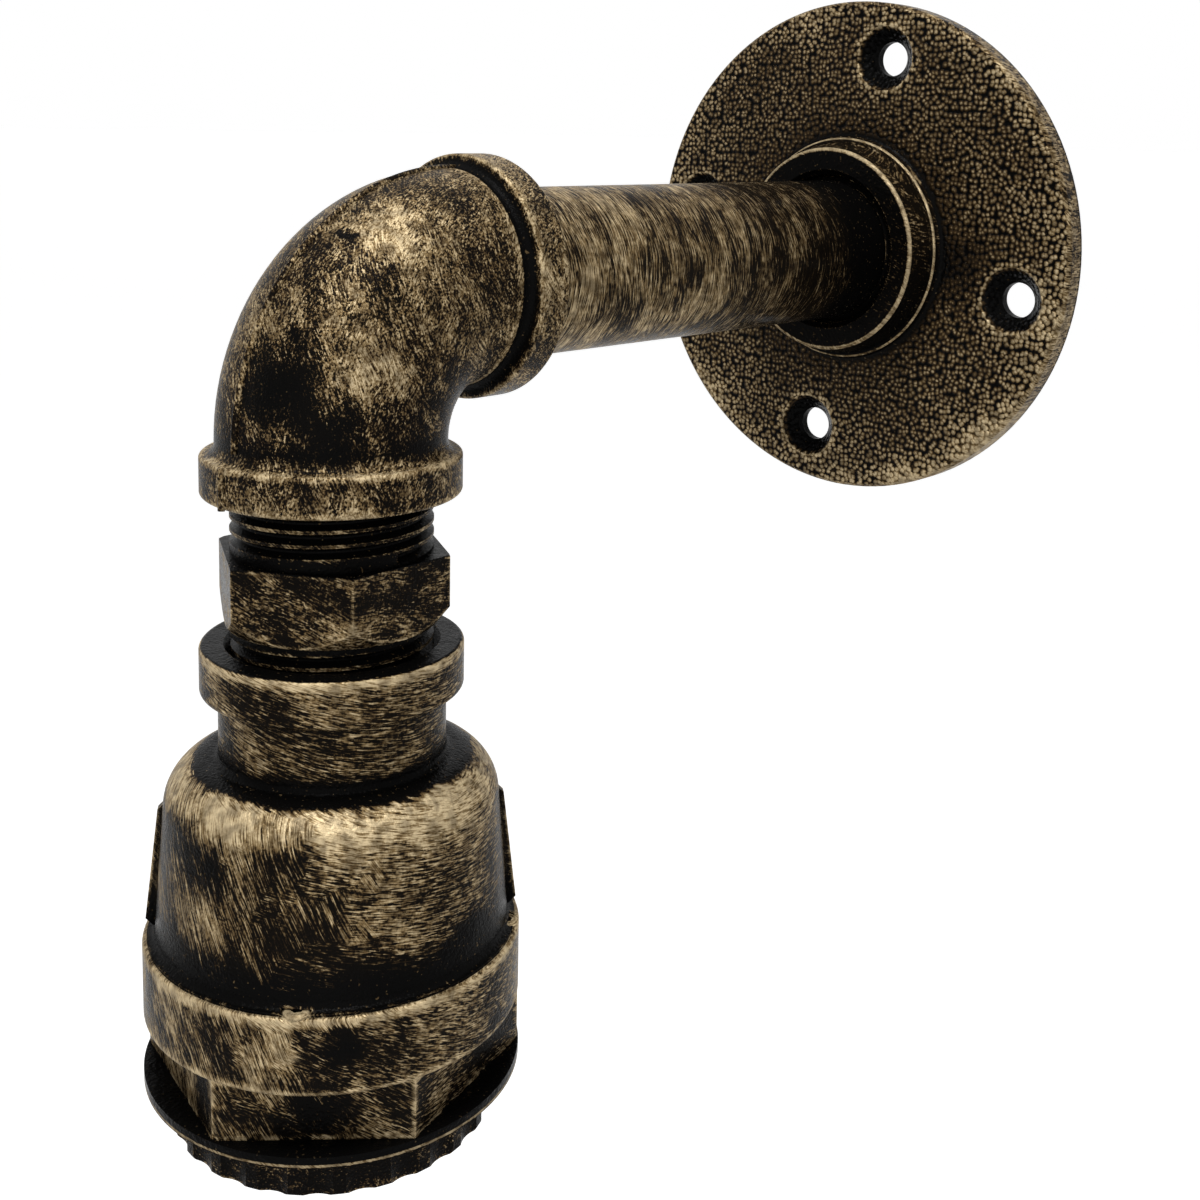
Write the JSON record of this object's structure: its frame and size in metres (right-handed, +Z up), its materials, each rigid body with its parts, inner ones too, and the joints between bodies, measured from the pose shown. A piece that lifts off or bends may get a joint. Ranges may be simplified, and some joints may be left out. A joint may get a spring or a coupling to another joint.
{
  "type": "industrial pipe wall light",
  "caption": "Wall light of pipe fittings: round wall flange, short pipe arm, elbow, hexagon nipple and a bell-shaped lampholder housing with a threaded shade ring.",
  "frame": {"origin": "centre of the wall flange's back face, on the wall plane", "axes": "+Y into the wall, -Y out along the arm, +Z up, -Z the way the bulb and the shade ring leave"},
  "size_m": [0.088, 0.1453, 0.1563],
  "materials": {
    "lacquered_casting": "glossy black lacquer rubbed back to antique brass",
    "lacquered_steel": "glossy black lacquer rubbed back to antique brass",
    "blackened_steel": "satin black",
    "zinc_steel": "zinc plated",
    "tinned_brass": "tinned",
    "brass": "plain",
    "phenolic": "moulded black",
    "ceramic": "white glazed ceramic",
    "brown_insulation": "plain",
    "blue_insulation": "plain",
    "earth_insulation": "green with a yellow stripe"
  },
  "bodies": {
    "light": {"wall_flange": "lacquered_casting", "arm_pipe": "lacquered_steel", "elbow": "lacquered_casting", "hex_nipple": "lacquered_casting", "bell_housing": "lacquered_casting", "hex_base": "lacquered_casting", "seam_screw_1": "blackened_steel", "seam_screw_2": "blackened_steel", "seam_screw_3": "blackened_steel", "seam_screw_4": "blackened_steel", "lampholder_cap": "phenolic", "threaded_tube": "zinc_steel", "lock_nut": "zinc_steel", "earth_tag": "tinned_brass", "lampholder_skirt": "phenolic", "lampholder_insert": "ceramic", "live_terminal": "brass", "live_terminal_screw": "zinc_steel", "neutral_terminal": "brass", "neutral_terminal_screw": "zinc_steel", "live_rivet": "brass", "neutral_rivet": "brass", "contact_strip": "brass", "screw_shell": "brass", "live_wire": "brown_insulation", "neutral_wire": "blue_insulation", "earth_wire": "earth_insulation", "live_ferrule": "tinned_brass", "neutral_ferrule": "tinned_brass", "earth_ferrule": "tinned_brass"},
    "washer": {"shade_washer": "blackened_steel"},
    "ring": {"shade_ring": "phenolic"},
    "contact": {"centre_contact": "brass"}
  },
  "joints": [
    {"name": "washer_drop", "type": "slide", "parent": "light", "child": "washer", "axis": [0, 0, -1], "range_m": [0, 0.00375]},
    {"name": "ring_turn", "type": "hinge", "parent": "washer", "child": "ring", "pos_m": [0, -0.12, -0.108], "axis": [0, 0, -1], "range_deg": [0, 540]},
    {"name": "contact_press", "type": "hinge", "parent": "light", "child": "contact", "pos_m": [-0.0048, -0.12, -0.0878], "axis": [0, -1, 0], "range_deg": [0, 12], "stiffness_Nm_per_rad": 0.08}
  ],
  "couplings": [
    {"joint": "ring_turn", "follows": "washer_drop", "rad_per_m": 2513.3}
  ]
}
